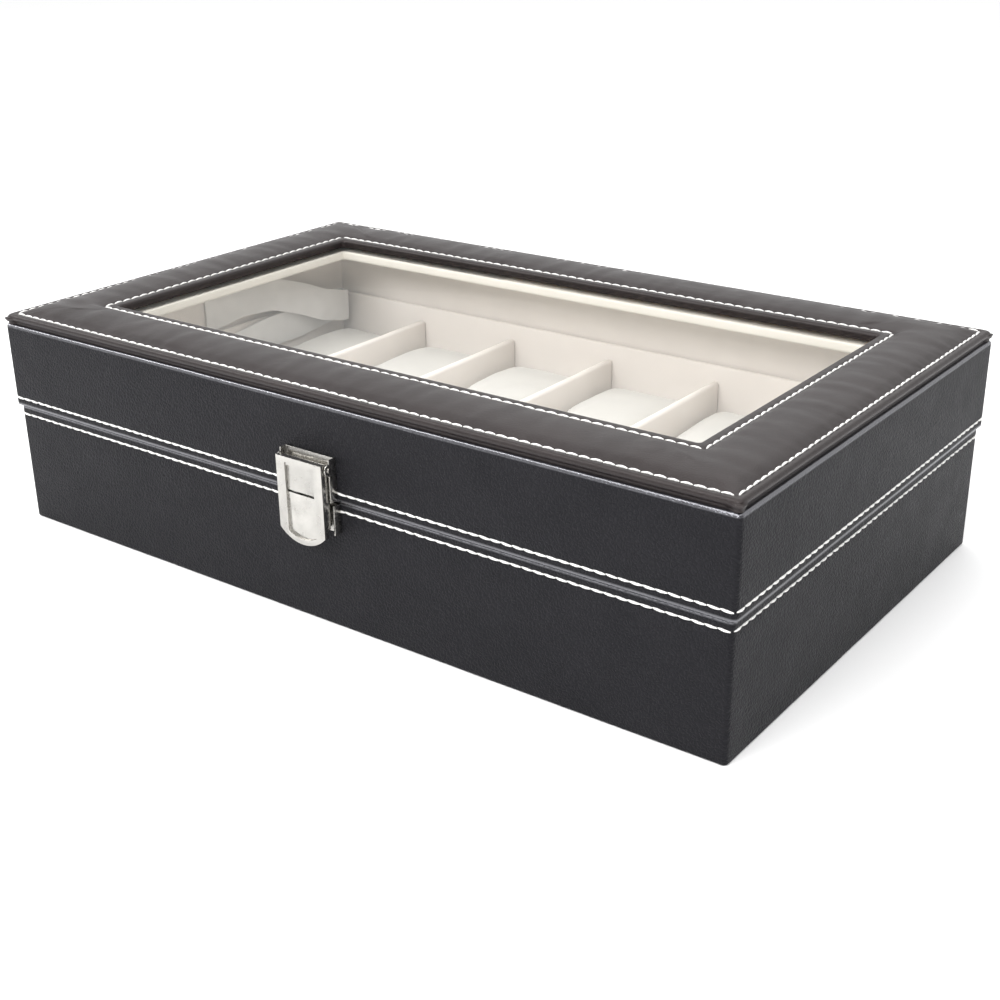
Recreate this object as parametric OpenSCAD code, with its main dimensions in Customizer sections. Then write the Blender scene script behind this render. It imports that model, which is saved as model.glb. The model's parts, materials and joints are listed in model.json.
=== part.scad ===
// Watch box with a glazed lid: leather-covered boards, a lined tray with
// cushions between half-lapped dividers, a padded top frame, two rear butt
// hinges, a drop latch and a ribbon stay. Millimetres, front is -Y, and the
// origin is at the centre of the underside.

/* [Case] */
// Outer width of the lid
lid_w = 300; // [292:1:312]
// Outer depth of the lid
lid_d = 180; // [176:1:190]
// Height of the top frame's stitched lip
lip_z = 80; // [79:0.5:84]
// Height of the base's rim
seam_z = 45; // [44.5:0.1:45.5]
// How far the lid stands proud of the base on each side
overhang = 1.1; // [0.8:0.1:1.5]
// Radius of the leather on the upright corners
corner_r = 1.6; // [1:0.1:2]

/* [Materials] */
// Leather thickness
leather_t = 0.8; // [0.6:0.1:1]
// Thickness of the base's wall boards
base_board_t = 3; // [2.5:0.1:3.2]
// Thickness of the lid's wall boards
lid_board_t = 2.5; // [2:0.1:2.6]
// Thickness of the lined panels that stand round the tray
panel_t = 1.7; // [1.4:0.1:2]
// Thickness of the lining fabric
lining_t = 0.6; // [0.4:0.1:0.8]
// Thickness of the bottom board
bottom_t = 3; // [2.5:0.1:3.2]

/* [Tray] */
// Number of cushions in a row
columns = 6; // [6]
// Distance between neighbouring cross dividers
column_pitch = 48.3; // [47:0.1:48.5]
// Thickness of a lined divider
divider_t = 3; // [2.5:0.1:3.5]
// Height of the dividers' tops
divider_top = 44; // [40:0.5:44]
// Height of the cushions' tops
pillow_top = 36; // [32:0.5:36.5]
// How far the tray's lined walls stand above the base's rim
collar_h = 5; // [4:0.5:6]

/* [Top frame] */
// Width of the frame from the lid's side to the window
frame_w = 29; // [27:0.5:30]
// Width of the flat lip outside the outer row of stitches
outer_lip = 3.2; // [3:0.1:3.6]
// Width of the flat lip between the inner stitches and the window
inner_lip = 3; // [2.6:0.1:3.4]
// Rise of the padding between the two rows of stitches
crown_h = 2.2; // [1.5:0.1:2.6]
// Thickness of the window glass
glass_t = 1.8; // [1.6:0.1:2]

/* [Latch] */
// Width of the lever
lever_w = 19.2; // [18.8:0.1:19.6]
// Height of the lever's top edge
lever_top = 59; // [58.8:0.1:59.2]
// Height of the lever's rounded bottom edge
lever_bottom = 30.2; // [29:0.1:31]
// Distance of the lever's face in front of the lid
lever_proud = 6; // [6:0.1:6.4]

/* [Hinges] */
// Distance of each hinge from the middle
hinge_x = 95; // [80:1:110]
// Width of a hinge
hinge_w = 30; // [28:1:36]
// Height of each leaf
leaf_h = 16; // [15:0.5:20]
// Outer radius of the hinge knuckles
knuckle_r = 1.9; // [1.7:0.1:1.9]
// Radius of the hinge pins
hinge_pin_r = 0.75; // [0.6:0.05:0.8]

/* [Ribbon stay] */
// Width of the ribbon
ribbon_w = 14; // [12:0.5:14]
// Distance between its two legs, centre to centre
ribbon_gap = 4.4; // [3.5:0.1:5]

/* [Hidden] */
$fn = 48;

leather_color = "#2b2a2d";
cream_color = "#d8d0c4";
cushion_color = "#e4e1d4";
board_color = "#b08a5c";
metal_color = "#d6d2c8";
ribbon_color = "#eceae4";

// Half sizes of the nested boxes, from the outside in
lid_half = [lid_w / 2, lid_d / 2];
lid_board_half = lid_half - [leather_t, leather_t];
lid_in_half = lid_board_half - [lid_board_t, lid_board_t];
lid_lined_half = lid_in_half - [lining_t, lining_t];
base_half = lid_half - [overhang, overhang];
base_board_half = base_half - [leather_t, leather_t];
base_in_half = base_board_half - [base_board_t, base_board_t];
tray_half = base_in_half - [panel_t, panel_t];

// Heights in the base
board_bottom_z = leather_t;
board_top_z = seam_z - leather_t;
floor_z = board_bottom_z + bottom_t;
tray_z = floor_z + lining_t;
collar_z = seam_z + collar_h;
lap_z = (tray_z + divider_top) / 2;
lap_play = 0.1;
turn_in = 14; // leather turned under the base's boards

// Heights in the lid
lid_gap = 0.3;
lid_z = seam_z + lid_gap;
frame_leather_t = 1;
frame_board_t = 2.6;
frame_board_top = lip_z - frame_leather_t;
rim_z = frame_board_top - frame_board_t;
glass_rebate_z = rim_z + 1.4; // top of the rebate in the frame's board
glass_top = glass_rebate_z - 0.2;
glass_z = glass_top - glass_t;
glass_half = lid_half - [19, 19];
glass_play = 0.2;
retainer_z = rim_z - 4.2;
window_half = lid_half - [frame_w, frame_w];
frame_inset = 0.6;
crown_steps = 14;
crown_fullness = 0.5; // lower is squarer
mitre = frame_w + 10;

// Hinges
hinge_axis = [lid_half[1] + 2.3, lid_z - 0.15]; // y, z
leaf_t = 0.8;
knuckle_play = 0.15;
middle_knuckle = hinge_w / 3;
pin_play = 0.05;
knuckle_clear = 0.35;
screw_r = 0.9;
screw_head_r = 1.9;
screw_head_h = 0.5;
screw_length = 3;
screw_offset = 9;

// Latch
plate_half = lever_w / 2 + 0.85;
plate_t = 0.8;
cheek_t = 0.5;
cheek_depth = 3.2;
latch_face = -lid_half[1] - lever_proud;
lever_t = 2;
latch_axis = [-lid_half[1] - 3.2, lever_top - 1.9]; // y, z
latch_pin_r = 0.8;
lever_knuckle_r = 1.45;
rivet_r = 1.5;
rivet_h = 0.6;
plate_top = 60.4;
lid_plate_z = lid_z + 0.6;
keeper_top = seam_z - 0.5;
keeper_bottom = 34.5;
bead_r = 0.7;
bead_z = 41;

// Ribbon stay: its two ends and its fold, as y, z
stay_low = [6, 37];
stay_high = [6, 57];
stay_fold = [80, 47];
ribbon_t = 0.5;
stay_x = -tray_half[0] + 1.25;
tack_length = 11;
tack_t = 0.6;

function cross_x(i) = (i - columns / 2) * column_pitch;

// A block from its two corners
module block(low, high) {
    translate(low) cube(high - low);
}

// A rectangle with rounded corners, from its half sizes
module rounded_rectangle(half, r) {
    square([2 * half[0] - 2 * r, 2 * half[1]], center = true);
    square([2 * half[0], 2 * half[1] - 2 * r], center = true);
    for (x = [-1, 1], y = [-1, 1])
        translate([x * (half[0] - r), y * (half[1] - r)]) circle(r);
}

// A ring between two rectangles; the outer one may have rounded corners
module ring(outer, inner, z0, z1, r = 0) {
    translate([0, 0, z0]) linear_extrude(z1 - z0) difference() {
        if (r > 0) rounded_rectangle(outer, r);
        else square(2 * outer, center = true);
        square(2 * inner, center = true);
    }
}

// A board in the front (-1) or back (1) wall, over the full width
module long_wall(half, inner, side, z0, z1) {
    block([-half[0], side > 0 ? inner[1] : -half[1], z0],
          [half[0], side > 0 ? half[1] : -inner[1], z1]);
}

// A board in the left (-1) or right (1) wall, between the long ones
module short_wall(half, inner, side, z0, z1) {
    block([side > 0 ? inner[0] : -half[0], -inner[1], z0],
          [side > 0 ? half[0] : -inner[0], inner[1], z1]);
}

// Things placed at both hinges, or at both screws of both hinges
module at_hinges() {
    for (side = [-1, 1]) translate([side * hinge_x, 0, 0]) children();
}

module at_screws(z, y) {
    at_hinges() for (x = [-1, 1]) translate([x * screw_offset, y, z]) children();
}

// ---- Base ----

base_screw_z = hinge_axis[1] - 10;
lid_screw_z = hinge_axis[1] + 10;

// Holes for the hinge screws through what is behind the leaves
module screw_holes(z, y) {
    at_screws(z, y - screw_length) rotate([-90, 0, 0])
        cylinder(r = screw_r, h = 2 * screw_length);
}

module bottom_cover() {
    color(cream_color)
        block([-base_half[0] + turn_in, -base_half[1] + turn_in, 0],
              [base_half[0] - turn_in, base_half[1] - turn_in, leather_t]);
}

module bottom_board() {
    color(board_color)
        block([-base_in_half[0], -base_in_half[1], board_bottom_z],
              [base_in_half[0], base_in_half[1], floor_z]);
}

module base_front_board() {
    color(board_color)
        long_wall(base_board_half, base_in_half, -1, board_bottom_z, board_top_z);
}

module base_back_board() {
    color(board_color) difference() {
        long_wall(base_board_half, base_in_half, 1, board_bottom_z, board_top_z);
        screw_holes(base_screw_z, base_half[1]);
    }
}

module base_left_board() {
    color(board_color)
        short_wall(base_board_half, base_in_half, -1, board_bottom_z, board_top_z);
}

module base_right_board() {
    color(board_color)
        short_wall(base_board_half, base_in_half, 1, board_bottom_z, board_top_z);
}

// One wrap: the outside, the rim turned over the boards, and the turn under
module base_leather() {
    color(leather_color) difference() {
        union() {
            ring(base_half, base_board_half, 0, seam_z, corner_r);
            ring(base_board_half, base_in_half, board_top_z, seam_z);
            ring(base_board_half, base_half - [turn_in, turn_in], 0, leather_t);
        }
        screw_holes(base_screw_z, base_half[1]);
    }
}

// ---- Tray ----

module front_liner() {
    color(cream_color) long_wall(base_in_half, tray_half, -1, tray_z, collar_z);
}

module back_liner() {
    color(cream_color) long_wall(base_in_half, tray_half, 1, tray_z, collar_z);
}

module left_liner() {
    color(cream_color) short_wall(base_in_half, tray_half, -1, tray_z, collar_z);
}

module right_liner() {
    color(cream_color) short_wall(base_in_half, tray_half, 1, tray_z, collar_z);
}

module floor_lining() {
    color(cream_color)
        block([-base_in_half[0], -base_in_half[1], floor_z],
              [base_in_half[0], base_in_half[1], tray_z]);
}

// Runs the full width and is slotted from above
module long_divider() {
    notch = divider_t / 2 + lap_play;
    color(cream_color) difference() {
        block([-tray_half[0], -divider_t / 2, tray_z],
              [tray_half[0], divider_t / 2, divider_top]);
        for (i = [1:columns - 1])
            block([cross_x(i) - notch, -divider_t, lap_z],
                  [cross_x(i) + notch, divider_t, divider_top + 1]);
    }
}

// Runs from front to back and is slotted from below
module cross_divider(i) {
    notch = divider_t / 2 + lap_play;
    color(cream_color) translate([cross_x(i), 0, 0]) difference() {
        block([-divider_t / 2, -tray_half[1], tray_z],
              [divider_t / 2, tray_half[1], divider_top]);
        block([-divider_t, -notch, tray_z - 1], [divider_t, notch, lap_z]);
    }
}

// A rectangle with its corners cut off
module chamfered_rectangle(size, c) {
    x = size[0] / 2;
    y = size[1] / 2;
    polygon([[-x + c, -y], [x - c, -y], [x, -y + c], [x, y - c],
             [x - c, y], [-x + c, y], [-x, y - c], [-x, -y + c]]);
}

// A cushion: side is -1 for the front row and 1 for the back row
module pillow(side, column) {
    play = 0.4;
    ribbon_play = 2;
    end_play = 2;
    edge = 7;
    left = column == 1 ? -tray_half[0] + ribbon_play
                       : cross_x(column - 1) + divider_t / 2 + play;
    right = column == columns ? tray_half[0] - play
                              : cross_x(column) - divider_t / 2 - play;
    size = [right - left, tray_half[1] - divider_t / 2 - 2 * end_play,
            pillow_top - tray_z];
    middle = [(left + right) / 2, side * (tray_half[1] + divider_t / 2) / 2,
              (tray_z + pillow_top) / 2];
    color(cushion_color) translate(middle) intersection() {
        translate([0, 0, -size[2] / 2])
            linear_extrude(size[2]) chamfered_rectangle([size[0], size[1]], edge);
        translate([0, size[1] / 2, 0]) rotate([90, 0, 0])
            linear_extrude(size[1]) chamfered_rectangle([size[0], size[2]], edge / 2);
        translate([-size[0] / 2, 0, 0]) rotate([90, 0, 90])
            linear_extrude(size[0]) chamfered_rectangle([size[1], size[2]], edge / 2);
    }
}

// ---- Lid ----

module lid_wall_heights(side, is_long) {
    if (is_long)
        long_wall(lid_board_half, lid_in_half, side, lid_z + leather_t, rim_z - leather_t);
    else
        short_wall(lid_board_half, lid_in_half, side, lid_z + leather_t, rim_z - leather_t);
}

module lid_front_board() {
    color(board_color) lid_wall_heights(-1, true);
}

module lid_back_board() {
    color(board_color) difference() {
        lid_wall_heights(1, true);
        screw_holes(lid_screw_z, lid_half[1]);
    }
}

module lid_left_board() {
    color(board_color) lid_wall_heights(-1, false);
}

module lid_right_board() {
    color(board_color) lid_wall_heights(1, false);
}

// One wrap round the outside, turned in over both edges of the boards
module lid_leather() {
    color(leather_color) difference() {
        union() {
            ring(lid_half, lid_board_half, lid_z, rim_z, corner_r);
            ring(lid_board_half, lid_in_half, lid_z, lid_z + leather_t);
            ring(lid_board_half, lid_in_half, rim_z - leather_t, rim_z);
        }
        screw_holes(lid_screw_z, lid_half[1]);
    }
}

module lid_lining() {
    color(cream_color) ring(lid_in_half, lid_lined_half, lid_z, retainer_z);
}

// Four mitred lengths of a profile: x is inwards from the lid's side, y is height
module mitred_frame() {
    x = lid_half[0];
    y = lid_half[1];
    for (turn = [0, 180]) rotate([0, 0, turn]) {
        intersection() {
            translate([-x, -y, 0]) rotate([90, 0, 90]) linear_extrude(2 * x) children();
            linear_extrude(lip_z + crown_h + 1)
                polygon([[-x, -y], [x, -y], [x - mitre, mitre - y], [mitre - x, mitre - y]]);
        }
        intersection() {
            translate([x, -y, 0]) rotate([90, 0, 180]) linear_extrude(2 * y) children();
            linear_extrude(lip_z + crown_h + 1)
                polygon([[x, -y], [x, y], [x - mitre, y - mitre], [x - mitre, mitre - y]]);
        }
    }
}

crown_from = frame_inset + outer_lip;
crown_to = frame_w - inner_lip;

function crown_x(i) = crown_from + (crown_to - crown_from) * i / crown_steps;
function crown_rise(i) = crown_h * pow(sin(180 * i / crown_steps), crown_fullness);

// The board's lower face is rebated for the glass
module frame_board() {
    edge = frame_leather_t;
    outer = lid_half - [frame_inset + edge, frame_inset + edge];
    color(board_color) union() {
        ring(outer, window_half + [edge, edge], glass_rebate_z, frame_board_top);
        ring(outer, glass_half + [glass_play, glass_play], rim_z, glass_rebate_z);
    }
}

module frame_foam() {
    color(cushion_color) mitred_frame() polygon([
        [crown_from, frame_board_top],
        for (i = [1:crown_steps - 1]) [crown_x(i), frame_board_top + crown_rise(i)],
        [crown_to, frame_board_top]
    ]);
}

// The padded leather, turned down over the outer edge and into the window
module frame_leather() {
    edge = frame_leather_t;
    bevel = 0.5;
    color(leather_color) mitred_frame() polygon([
        [frame_inset, rim_z], [frame_inset, lip_z - bevel], [frame_inset + bevel, lip_z],
        for (i = [0:crown_steps]) [crown_x(i), lip_z + crown_rise(i)],
        [frame_w - bevel, lip_z], [frame_w, lip_z - bevel], [frame_w, glass_rebate_z],
        [frame_w - edge, glass_rebate_z], [frame_w - edge, frame_board_top],
        for (i = [crown_steps:-1:0]) [crown_x(i), frame_board_top + crown_rise(i)],
        [frame_inset + edge, frame_board_top], [frame_inset + edge, rim_z]
    ]);
}

module glass_pane() {
    color("lightcyan", 0.3)
        block([-glass_half[0], -glass_half[1], glass_z],
              [glass_half[0], glass_half[1], glass_top]);
}

// The lined frame under the glass, rebated to hold the pane
module glass_retainer() {
    color(cream_color) union() {
        ring(lid_in_half, glass_half + [glass_play, glass_play], glass_z, rim_z);
        ring(lid_in_half, window_half + [0.5, 0.5], retainer_z, glass_z);
    }
}

// ---- Hinges ----

// A stretch of the hinge's barrel, with its bore
module knuckle(x0, x1, bore) {
    translate([x0, hinge_axis[0], hinge_axis[1]]) rotate([0, 90, 0]) difference() {
        cylinder(r = knuckle_r, h = x1 - x0);
        translate([0, 0, -1]) cylinder(r = bore, h = x1 - x0 + 2);
    }
}

module leaf_screw_holes(z) {
    for (x = [-1, 1]) translate([x * screw_offset, 0, z]) rotate([-90, 0, 0])
        cylinder(r = screw_r, h = 2 * lid_d);
}

// The base's leaf has the two outer knuckles
module hinge_base_leaf() {
    y = base_half[1];
    top = hinge_axis[1] - 0.75;
    inner = middle_knuckle / 2 + knuckle_play;
    color(metal_color) difference() {
        union() {
            difference() {
                block([-hinge_w / 2, y, top - leaf_h], [hinge_w / 2, y + leaf_t, top]);
                leaf_screw_holes(base_screw_z);
            }
            for (side = [-1, 1]) {
                x0 = side > 0 ? inner : -hinge_w / 2;
                x1 = side > 0 ? hinge_w / 2 : -inner;
                knuckle(x0, x1, hinge_pin_r);
                block([x0, y, top - 1], [x1, hinge_axis[0] - hinge_pin_r, top]);
            }
        }
        translate([-hinge_w, hinge_axis[0], hinge_axis[1]]) rotate([0, 90, 0])
            cylinder(r = hinge_pin_r, h = 2 * hinge_w);
    }
}

// The lid's leaf has the middle knuckle, and clears the outer ones
module hinge_lid_leaf() {
    y = lid_half[1];
    bottom = hinge_axis[1] + 0.75;
    clear_top = hinge_axis[1] + knuckle_r + knuckle_clear;
    inner = middle_knuckle / 2 + knuckle_play;
    color(metal_color) difference() {
        union() {
            block([-hinge_w / 2, y, clear_top], [hinge_w / 2, y + leaf_t, bottom + leaf_h]);
            block([-middle_knuckle / 2, y, bottom], [middle_knuckle / 2, y + leaf_t, clear_top]);
            block([-middle_knuckle / 2, y, bottom],
                  [middle_knuckle / 2, hinge_axis[0] - hinge_pin_r, bottom + 1]);
            knuckle(-middle_knuckle / 2, middle_knuckle / 2, hinge_pin_r + pin_play);
        }
        leaf_screw_holes(lid_screw_z);
        translate([-hinge_w, hinge_axis[0], hinge_axis[1]]) rotate([0, 90, 0])
            cylinder(r = hinge_pin_r + pin_play, h = 2 * hinge_w);
    }
}

module left_hinge_base_leaf() { translate([-hinge_x, 0, 0]) hinge_base_leaf(); }
module right_hinge_base_leaf() { translate([hinge_x, 0, 0]) hinge_base_leaf(); }
module left_hinge_lid_leaf() { translate([-hinge_x, 0, 0]) hinge_lid_leaf(); }
module right_hinge_lid_leaf() { translate([hinge_x, 0, 0]) hinge_lid_leaf(); }

module hinge_pins() {
    color(metal_color) at_hinges()
        translate([-hinge_w / 2, hinge_axis[0], hinge_axis[1]]) rotate([0, 90, 0])
            cylinder(r = hinge_pin_r, h = hinge_w);
}

// Shank and low head of a screw, pointing into the wall
module screw() {
    rotate([-90, 0, 0]) {
        translate([0, 0, -screw_length]) cylinder(r = screw_r, h = screw_length);
        cylinder(r = screw_head_r, h = screw_head_h);
    }
}

module hinge_base_screws() {
    color(metal_color) at_screws(base_screw_z, base_half[1] + leaf_t) screw();
}

module hinge_lid_screws() {
    color(metal_color) at_screws(lid_screw_z, lid_half[1] + leaf_t) screw();
}

// ---- Latch ----

// A back plate with a cheek down each side: y is the face that it is fixed to
module cheeked_plate(y, z0, z1) {
    block([-plate_half, y - plate_t, z0], [plate_half, y, z1]);
    for (side = [-1, 1])
        block([side > 0 ? plate_half - cheek_t : -plate_half, y - cheek_depth, z0],
              [side > 0 ? plate_half : cheek_t - plate_half, y, z1]);
}

// Runs of rivet heads that fix a plate
module rivets(y, z) {
    for (x = [-6.5, 6.5]) translate([x, y, z]) rotate([90, 0, 0])
        cylinder(r = rivet_r, h = rivet_h);
}

module keeper_plate() {
    y = -base_half[1];
    color(metal_color) {
        cheeked_plate(y, keeper_bottom, keeper_top);
        translate([-5, y - plate_t - bead_r / 2, bead_z]) rotate([0, 90, 0])
            cylinder(r = bead_r, h = 10);
    }
}

module keeper_rivets() {
    color(metal_color) rivets(-base_half[1] - plate_t, 37.5);
}

// The cheeks carry the pin that the lever turns on
module latch_plate() {
    y = -lid_half[1];
    ear_r = 2;
    color(metal_color) difference() {
        union() {
            cheeked_plate(y, lid_plate_z, plate_top);
            for (side = [-1, 1])
                translate([side > 0 ? plate_half - cheek_t : -plate_half,
                           latch_axis[0], latch_axis[1]])
                    rotate([0, 90, 0]) cylinder(r = ear_r, h = cheek_t);
        }
        translate([-2 * plate_half, latch_axis[0], latch_axis[1]]) rotate([0, 90, 0])
            cylinder(r = latch_pin_r, h = 4 * plate_half);
    }
}

module latch_pin() {
    head = 0.3;
    color(metal_color) translate([-plate_half - head, latch_axis[0], latch_axis[1]])
        rotate([0, 90, 0]) cylinder(r = latch_pin_r, h = 2 * (plate_half + head));
}

module latch_rivets() {
    color(metal_color) rivets(-lid_half[1] - plate_t, 50);
}

// The lever's outline: straight sides and a rounded bottom
module lever_outline(inset) {
    half = lever_w / 2 - inset;
    bottom_r = 13 - inset;
    intersection() {
        union() {
            translate([-half, lever_bottom + 13 - inset])
                square([2 * half, lever_top - lever_bottom - 13]);
            translate([0, lever_bottom + 13]) circle(bottom_r, $fn = 96);
        }
        translate([-half, 0]) square([2 * half, lever_top - inset]);
    }
}

module lever_layer(inset, y, t) {
    translate([0, y + t, 0]) rotate([90, 0, 0]) linear_extrude(t) lever_outline(inset);
}

module latch_lever() {
    rim = 1.8;
    panel_half = 6;
    panel_depth = 1.2;
    slit = [12, 0.8];
    slit_z = 46.7;
    flange_t = 0.5;
    flange_depth = 3;
    play = 0.05;
    lever_half = lever_w / 2;
    back = latch_face + lever_t;
    knuckle_half = 8;
    color(metal_color) difference() {
        union() {
            difference() {
                lever_layer(0, latch_face, lever_t);
                // Sunk panel between two rails
                intersection() {
                    lever_layer(rim, latch_face - 1, 1 + panel_depth);
                    block([-panel_half, latch_face - 2, lever_bottom],
                          [panel_half, back, lever_top - 0.7]);
                }
                // Slit across it
                block([-slit[0] / 2, latch_face - 1, slit_z],
                      [slit[0] / 2, back + 1, slit_z + slit[1]]);
            }
            // Side flanges, short of the plates' cheeks
            for (side = [-1, 1])
                block([side > 0 ? lever_half - flange_t : -lever_half, latch_face + 0.2, 37],
                      [side > 0 ? lever_half : flange_t - lever_half,
                       back + flange_depth - lever_t, lever_top]);
            // Knuckle round the pin, and the web that joins it to the face
            translate([-knuckle_half, latch_axis[0], latch_axis[1]]) rotate([0, 90, 0])
                cylinder(r = lever_knuckle_r, h = 2 * knuckle_half);
            block([-knuckle_half, latch_face + 0.5, latch_axis[1] - 1],
                  [knuckle_half, latch_axis[0], latch_axis[1] + lever_knuckle_r - 0.2]);
            // Lip that snaps under the keeper's bead
            block([-4, back - 0.2, 38.4], [4, -base_half[1] - 2.5, 39.4]);
        }
        translate([-2 * plate_half, latch_axis[0], latch_axis[1]]) rotate([0, 90, 0])
            cylinder(r = latch_pin_r + play, h = 4 * plate_half);
    }
}

// ---- Ribbon stay ----

// A straight leg standing on edge between two points given as y, z
module ribbon_leg(x, from, to) {
    run = to - from;
    length = norm(run);
    overlap = 1.5;
    color(ribbon_color)
        translate([x - ribbon_t / 2, from[0], from[1]])
            rotate([atan2(run[1], run[0]), 0, 0])
                translate([0, -overlap, -ribbon_w / 2])
                    cube([ribbon_t, length + overlap, ribbon_w]);
}

module ribbon_lower() { ribbon_leg(stay_x, stay_low, stay_fold); }

module ribbon_upper() { ribbon_leg(stay_x + ribbon_gap, stay_high, stay_fold); }

// The glued ends: on the tray's left wall, and on the lid's
module base_ribbon_tack() {
    x = -tray_half[0];
    color(ribbon_color)
        block([x, 2, stay_low[1] - ribbon_w / 2],
              [x + tack_t, 2 + tack_length, stay_low[1] + ribbon_w / 2]);
}

module lid_ribbon_tack() {
    x = -lid_lined_half[0];
    color(ribbon_color)
        block([x, 2, stay_high[1] - ribbon_w / 2 + 0.5],
              [x + tack_t, 2 + tack_length, stay_high[1] + ribbon_w / 2]);
}

bottom_cover();
bottom_board();
base_front_board();
base_back_board();
base_left_board();
base_right_board();
base_leather();
front_liner();
back_liner();
left_liner();
right_liner();
floor_lining();
long_divider();
cross_divider(1);  // cross_divider_1
cross_divider(2);  // cross_divider_2
cross_divider(3);  // cross_divider_3
cross_divider(4);  // cross_divider_4
cross_divider(5);  // cross_divider_5
pillow(-1, 1);  // front_pillow_1
pillow(-1, 2);  // front_pillow_2
pillow(-1, 3);  // front_pillow_3
pillow(-1, 4);  // front_pillow_4
pillow(-1, 5);  // front_pillow_5
pillow(-1, 6);  // front_pillow_6
pillow(1, 1);  // back_pillow_1
pillow(1, 2);  // back_pillow_2
pillow(1, 3);  // back_pillow_3
pillow(1, 4);  // back_pillow_4
pillow(1, 5);  // back_pillow_5
pillow(1, 6);  // back_pillow_6
keeper_plate();
keeper_rivets();
left_hinge_base_leaf();
right_hinge_base_leaf();
hinge_pins();
hinge_base_screws();
base_ribbon_tack();
lid_front_board();
lid_back_board();
lid_left_board();
lid_right_board();
lid_leather();
lid_lining();
frame_board();
frame_foam();
frame_leather();
glass_pane();
glass_retainer();
left_hinge_lid_leaf();
right_hinge_lid_leaf();
hinge_lid_screws();
latch_plate();
latch_pin();
latch_rivets();
lid_ribbon_tack();
latch_lever();
ribbon_lower();
ribbon_upper();
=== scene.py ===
"""Looks of the watch box: leather, stitching, cushions, ribbon, glass and metal
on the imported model. The front is -Y. Sizes are in millimetres until they are
turned into metres by MM."""
import json
import math
import random

import bmesh
import bpy
import numpy as np
from mathutils import Matrix, Vector, noise


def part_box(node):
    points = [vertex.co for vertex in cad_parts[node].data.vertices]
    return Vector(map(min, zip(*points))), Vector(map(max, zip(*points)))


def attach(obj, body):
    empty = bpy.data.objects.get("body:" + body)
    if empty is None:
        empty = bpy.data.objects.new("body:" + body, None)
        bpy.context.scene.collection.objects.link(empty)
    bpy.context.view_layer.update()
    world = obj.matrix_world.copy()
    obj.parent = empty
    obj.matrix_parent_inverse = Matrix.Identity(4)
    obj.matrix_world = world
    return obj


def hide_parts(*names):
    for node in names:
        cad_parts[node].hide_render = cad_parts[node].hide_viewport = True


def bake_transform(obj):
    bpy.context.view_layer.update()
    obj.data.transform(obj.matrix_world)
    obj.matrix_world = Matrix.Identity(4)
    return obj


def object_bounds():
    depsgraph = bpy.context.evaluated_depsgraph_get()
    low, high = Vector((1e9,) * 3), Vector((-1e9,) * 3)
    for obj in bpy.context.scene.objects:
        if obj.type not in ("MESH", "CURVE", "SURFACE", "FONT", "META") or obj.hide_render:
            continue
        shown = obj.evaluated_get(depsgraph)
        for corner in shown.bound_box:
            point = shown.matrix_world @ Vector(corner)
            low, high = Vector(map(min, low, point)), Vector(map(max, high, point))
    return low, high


MM = 0.001
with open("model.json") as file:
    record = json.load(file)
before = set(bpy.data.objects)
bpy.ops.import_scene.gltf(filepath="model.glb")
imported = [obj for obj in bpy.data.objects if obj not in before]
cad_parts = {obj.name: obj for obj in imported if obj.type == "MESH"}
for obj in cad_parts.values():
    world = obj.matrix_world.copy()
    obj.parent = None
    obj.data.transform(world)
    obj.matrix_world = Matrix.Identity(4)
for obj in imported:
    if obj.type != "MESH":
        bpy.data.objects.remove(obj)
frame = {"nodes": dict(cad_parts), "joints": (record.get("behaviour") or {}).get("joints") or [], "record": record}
nodes = frame["nodes"]
cad_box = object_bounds()


def box_mm(node):
    """A node's lowest and highest corners, in millimetres."""
    low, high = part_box(node)
    return np.array(low) / MM, np.array(high) / MM


# ---- Camera -----------------------------------------------------------------

CAMERA_AT = (0.30745, -0.40244, 0.23041)
CAMERA_AZIMUTH = 36.81
CAMERA_ELEVATION = 23.37
CAMERA_ROLL = -0.74
LENS_MM = 53.73
SENSOR_MM = 36


def make_camera():
    azimuth = math.radians(CAMERA_AZIMUTH)
    elevation = math.radians(CAMERA_ELEVATION)
    roll = math.radians(CAMERA_ROLL)
    forward = Vector((-math.sin(azimuth) * math.cos(elevation),
                      math.cos(azimuth) * math.cos(elevation),
                      -math.sin(elevation)))
    level_right = Vector((math.cos(azimuth), math.sin(azimuth), 0))
    level_up = level_right.cross(forward)
    right = level_right * math.cos(roll) + level_up * math.sin(roll)
    up = level_up * math.cos(roll) - level_right * math.sin(roll)
    data = bpy.data.cameras.new("camera")
    data.lens = LENS_MM
    data.sensor_width = SENSOR_MM
    data.clip_start = 0.01
    data.clip_end = 50
    camera = bpy.data.objects.new("camera", data)
    bpy.context.collection.objects.link(camera)
    axes = Matrix((right, up, -forward)).transposed()
    camera.matrix_world = Matrix.Translation(CAMERA_AT) @ axes.to_4x4()
    bpy.context.scene.camera = camera


make_camera()

# ---- Materials --------------------------------------------------------------


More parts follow.
